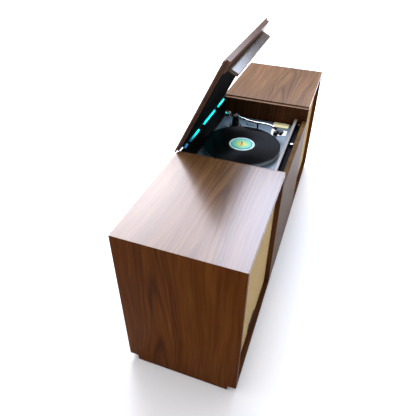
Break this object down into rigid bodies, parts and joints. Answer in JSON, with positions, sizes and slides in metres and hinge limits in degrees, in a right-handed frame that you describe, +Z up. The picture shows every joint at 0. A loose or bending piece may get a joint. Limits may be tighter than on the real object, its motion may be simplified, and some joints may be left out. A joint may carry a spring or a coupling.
{
  "type": "turntable record player",
  "caption": "Low console with a grille-cloth speaker wing at each end and a record deck with a tonearm in a centre well under a hinged lid.",
  "frame": {"origin": "on the floor, at the middle of the whole outline with the lid as modelled: the middle of the length, and half-way from the front to the open lid's back edge", "axes": "+X along the length, to the right seen from the front; -Y towards the front; +Z up"},
  "size_m": [1.45, 0.3932, 0.9116],
  "materials": {
    "walnut": "walnut veneer, satin lacquer",
    "dark_walnut": "dark walnut veneer inside the well",
    "front_walnut": "walnut veneer, satin lacquer",
    "raw_board": "unfinished board",
    "black_board": "black lacquered board",
    "hardboard": "tempered hardboard",
    "grille_cloth": "woven cane-coloured grille cloth",
    "black_steel": "black powder coat",
    "deck_paint": "blue-grey hammered paint",
    "zinc_steel": "zinc-plated steel",
    "chrome": "polished chrome",
    "satin_aluminium": "satin aluminium",
    "brass": "satin brass",
    "black_plastic": "black moulded plastic",
    "cream_plastic": "cream moulded plastic",
    "vinyl": "pressed vinyl, grooved",
    "record_label": "printed paper label, teal and yellow",
    "rubber": "moulded rubber",
    "paper_cone": "treated paper cone",
    "cyan_lens": "lit cyan lens",
    "pilot_lens": "dim blue pilot lens",
    "circuit": "circuit board laminate",
    "felt": "ribbed rubber platter mat"
  },
  "bodies": {
    "cabinet": {"end_panels": "walnut", "wing_top_panels": "walnut", "partitions": "dark_walnut", "bottom_board": "front_walnut", "plinth_rails": "front_walnut", "floor_glides": "black_plastic", "back_panels": "hardboard", "battens": "raw_board", "wood_screws": "zinc_steel", "hinge_rail": "black_board", "front_panel": "front_walnut", "speaker_baffles": "black_board", "grille_frames": "raw_board", "grille_cloths": "grille_cloth", "woofer_baskets": "black_steel", "woofer_cones": "paper_cone", "tweeters": "black_plastic", "badge_plate": "satin_aluminium", "hinge_rail_leaves": "brass", "front_strip": "front_walnut", "control_channel": "black_steel", "control_switches": "zinc_steel", "deck_shelf": "black_board", "deck_plate": "deck_paint", "deck_grommets": "rubber", "bearing_housing": "brass", "motor": "zinc_steel", "drive_belt": "rubber", "control_plates": "satin_aluminium", "tonearm_base": "black_plastic", "arm_rest": "black_plastic", "amplifier_tray": "zinc_steel", "circuit_board": "circuit", "transformer": "zinc_steel", "connector_plate": "black_steel", "power_inlet": "black_plastic"},
    "lid": {"lid_panel": "walnut", "lid_fascia": "walnut", "lid_lining": "black_board", "lid_light_housing": "black_plastic", "lid_light_lenses": "cyan_lens", "lid_pilot_lens": "pilot_lens", "hinge_lid_leaves": "brass"},
    "platter": {"sub_platter": "satin_aluminium", "platter": "satin_aluminium", "platter_mat": "felt"},
    "record": {"record": "vinyl", "record_label": "record_label"},
    "motor_pulley": {"motor_pulley": "brass"},
    "arm_yoke": {"arm_yoke": "black_plastic"},
    "arm": {"arm_pivot_block": "black_plastic", "arm_tube": "chrome", "headshell": "black_plastic", "cartridge": "black_plastic", "stylus": "cream_plastic"},
    "counterweight": {"counterweight": "chrome"},
    "cue_lever": {"cue_lever": "satin_aluminium"},
    "speed_knob": {"speed_knob": "black_plastic"},
    "volume_knob": {"volume_knob": "satin_aluminium"},
    "tone_knob": {"tone_knob": "satin_aluminium"}
  },
  "joints": [
    {"name": "lid_hinge", "type": "hinge", "parent": "cabinet", "child": "lid", "pos_m": [0, 0.18635, 0.563], "axis": [-1, 0, 0], "range_deg": [-63.5, 15]},
    {"name": "platter_spin", "type": "hinge", "parent": "cabinet", "child": "platter", "pos_m": [-0.026, 0.01535, 0.488], "axis": [0, 0, -1], "continuous": true},
    {"name": "motor_pulley_spin", "type": "hinge", "parent": "cabinet", "child": "motor_pulley", "pos_m": [-0.10944, 0.09879, 0.488], "axis": [0, 0, -1], "continuous": true},
    {"name": "record_lift", "type": "slide", "parent": "platter", "child": "record", "axis": [0, 0, 1], "range_m": [0, 0.015]},
    {"name": "tonearm_swing", "type": "hinge", "parent": "cabinet", "child": "arm_yoke", "pos_m": [0.158, 0.09635, 0.488], "axis": [0, 0, -1], "range_deg": [0, 38]},
    {"name": "tonearm_lift", "type": "hinge", "parent": "arm_yoke", "child": "arm", "pos_m": [0.158, 0.09635, 0.531], "axis": [-0.9816, 0.1908, 0], "range_deg": [0, 8]},
    {"name": "counterweight_slide", "type": "slide", "parent": "arm", "child": "counterweight", "axis": [0.1908, 0.9816, 0], "range_m": [-0.004, 0.014]},
    {"name": "cue_lever_turn", "type": "hinge", "parent": "cabinet", "child": "cue_lever", "pos_m": [0.19, 0.05335, 0.488], "axis": [0, 0, -1], "range_deg": [0, 60]},
    {"name": "speed_knob_turn", "type": "hinge", "parent": "cabinet", "child": "speed_knob", "pos_m": [0.136, -0.08565, 0.488], "axis": [0, 0, 1], "range_deg": [-35, 35]},
    {"name": "volume_turn", "type": "hinge", "parent": "cabinet", "child": "volume_knob", "pos_m": [0.062, -0.16765, 0.488], "axis": [0, 0, -1], "range_deg": [-150, 150]},
    {"name": "tone_turn", "type": "hinge", "parent": "cabinet", "child": "tone_knob", "pos_m": [0.238, -0.16765, 0.488], "axis": [0, 0, -1], "range_deg": [-150, 150]}
  ],
  "couplings": [
    {"joint": "motor_pulley_spin", "follows": "platter_spin", "ratio": 13.667},
    {"joint": "cue_lever_turn", "follows": "tonearm_lift", "ratio": 7.5}
  ]
}
